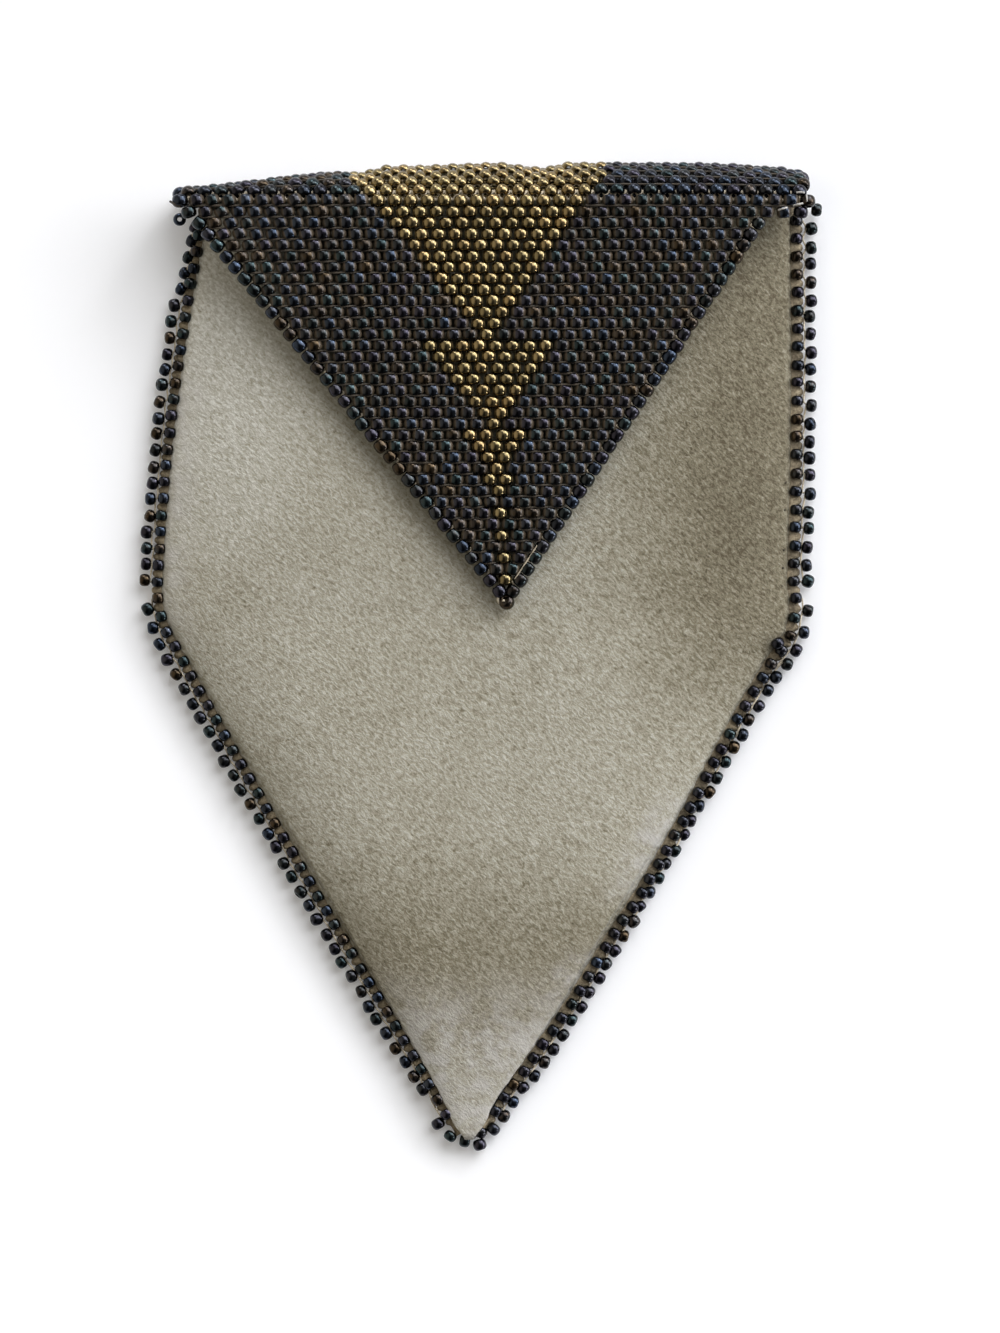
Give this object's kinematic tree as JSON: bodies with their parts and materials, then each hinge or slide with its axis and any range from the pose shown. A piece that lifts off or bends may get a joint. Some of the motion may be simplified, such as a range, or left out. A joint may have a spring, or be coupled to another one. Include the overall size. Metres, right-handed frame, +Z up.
{
  "type": "beaded medicine bag",
  "caption": "Flat pointed suede pouch lying on its back, with a triangular brick-stitch bead flap folded over its mouth and a beaded edge.",
  "frame": {"origin": "on the flat back, where the bag lies, near the middle of its outline", "axes": "+Y towards the mouth and the flap's fold, +X to the right as the front is seen, +Z up out of the front"},
  "size_m": [0.0867, 0.1272, 0.0092],
  "materials": {
    "suede": "matte napped",
    "dark_beads": "gloss with a blue and purple lustre",
    "gold_beads": "metallic gold",
    "thread": "waxed thread"
  },
  "bodies": {
    "root": {"back_panel": "suede", "edging_left_side_inner": "dark_beads", "edging_left_side_outer": "dark_beads", "edging_left_taper_inner": "dark_beads", "edging_left_taper_outer": "dark_beads", "edging_right_side_inner": "dark_beads", "edging_right_side_outer": "dark_beads", "edging_right_taper_inner": "dark_beads", "edging_right_taper_outer": "dark_beads", "edging_tip": "dark_beads", "front_panel": "suede", "root_row": "dark_beads"},
    "fold": {"fold_row_38": "dark_beads", "fold_row_39": "dark_beads", "fold_row_40": "dark_beads", "fold_row_41": "dark_beads", "fold_row_42": "dark_beads"},
    "flap": {"flap_row_01": "dark_beads", "flap_row_02": "dark_beads", "flap_row_03": "dark_beads", "flap_row_04": "dark_beads", "flap_row_05": "dark_beads", "flap_row_06": "dark_beads", "flap_row_07": "dark_beads", "flap_row_08": "dark_beads", "flap_row_09": "dark_beads", "flap_row_10": "dark_beads", "flap_row_11": "dark_beads", "flap_row_12": "dark_beads", "flap_row_13": "dark_beads", "flap_row_14": "dark_beads", "flap_row_15": "dark_beads", "flap_row_16": "dark_beads", "flap_row_17": "dark_beads", "flap_row_18": "dark_beads", "flap_row_19": "dark_beads", "flap_row_20": "dark_beads", "flap_row_21": "dark_beads", "flap_row_22": "dark_beads", "flap_row_23": "dark_beads", "flap_row_24": "dark_beads", "flap_row_25": "dark_beads", "flap_row_26": "dark_beads", "flap_row_27": "dark_beads", "flap_row_28": "dark_beads", "flap_row_29": "dark_beads", "flap_row_30": "dark_beads", "flap_row_31": "dark_beads", "flap_row_32": "dark_beads", "flap_row_33": "dark_beads", "flap_row_34": "dark_beads", "flap_row_35": "dark_beads", "flap_row_36": "dark_beads", "flap_row_37": "dark_beads"}
  },
  "joints": [
    {"name": "fold_turn", "type": "hinge", "parent": "root", "child": "fold", "pos_m": [0, 0.06324, 0.00256], "axis": [-1, 0, 0], "range_deg": [0, 125]},
    {"name": "flap_turn", "type": "hinge", "parent": "fold", "child": "flap", "pos_m": [0, 0.05874, 0.00873], "axis": [-1, 0, 0], "range_deg": [0, 55]}
  ],
  "couplings": [
    {"joint": "flap_turn", "follows": "fold_turn", "ratio": 0.44}
  ]
}
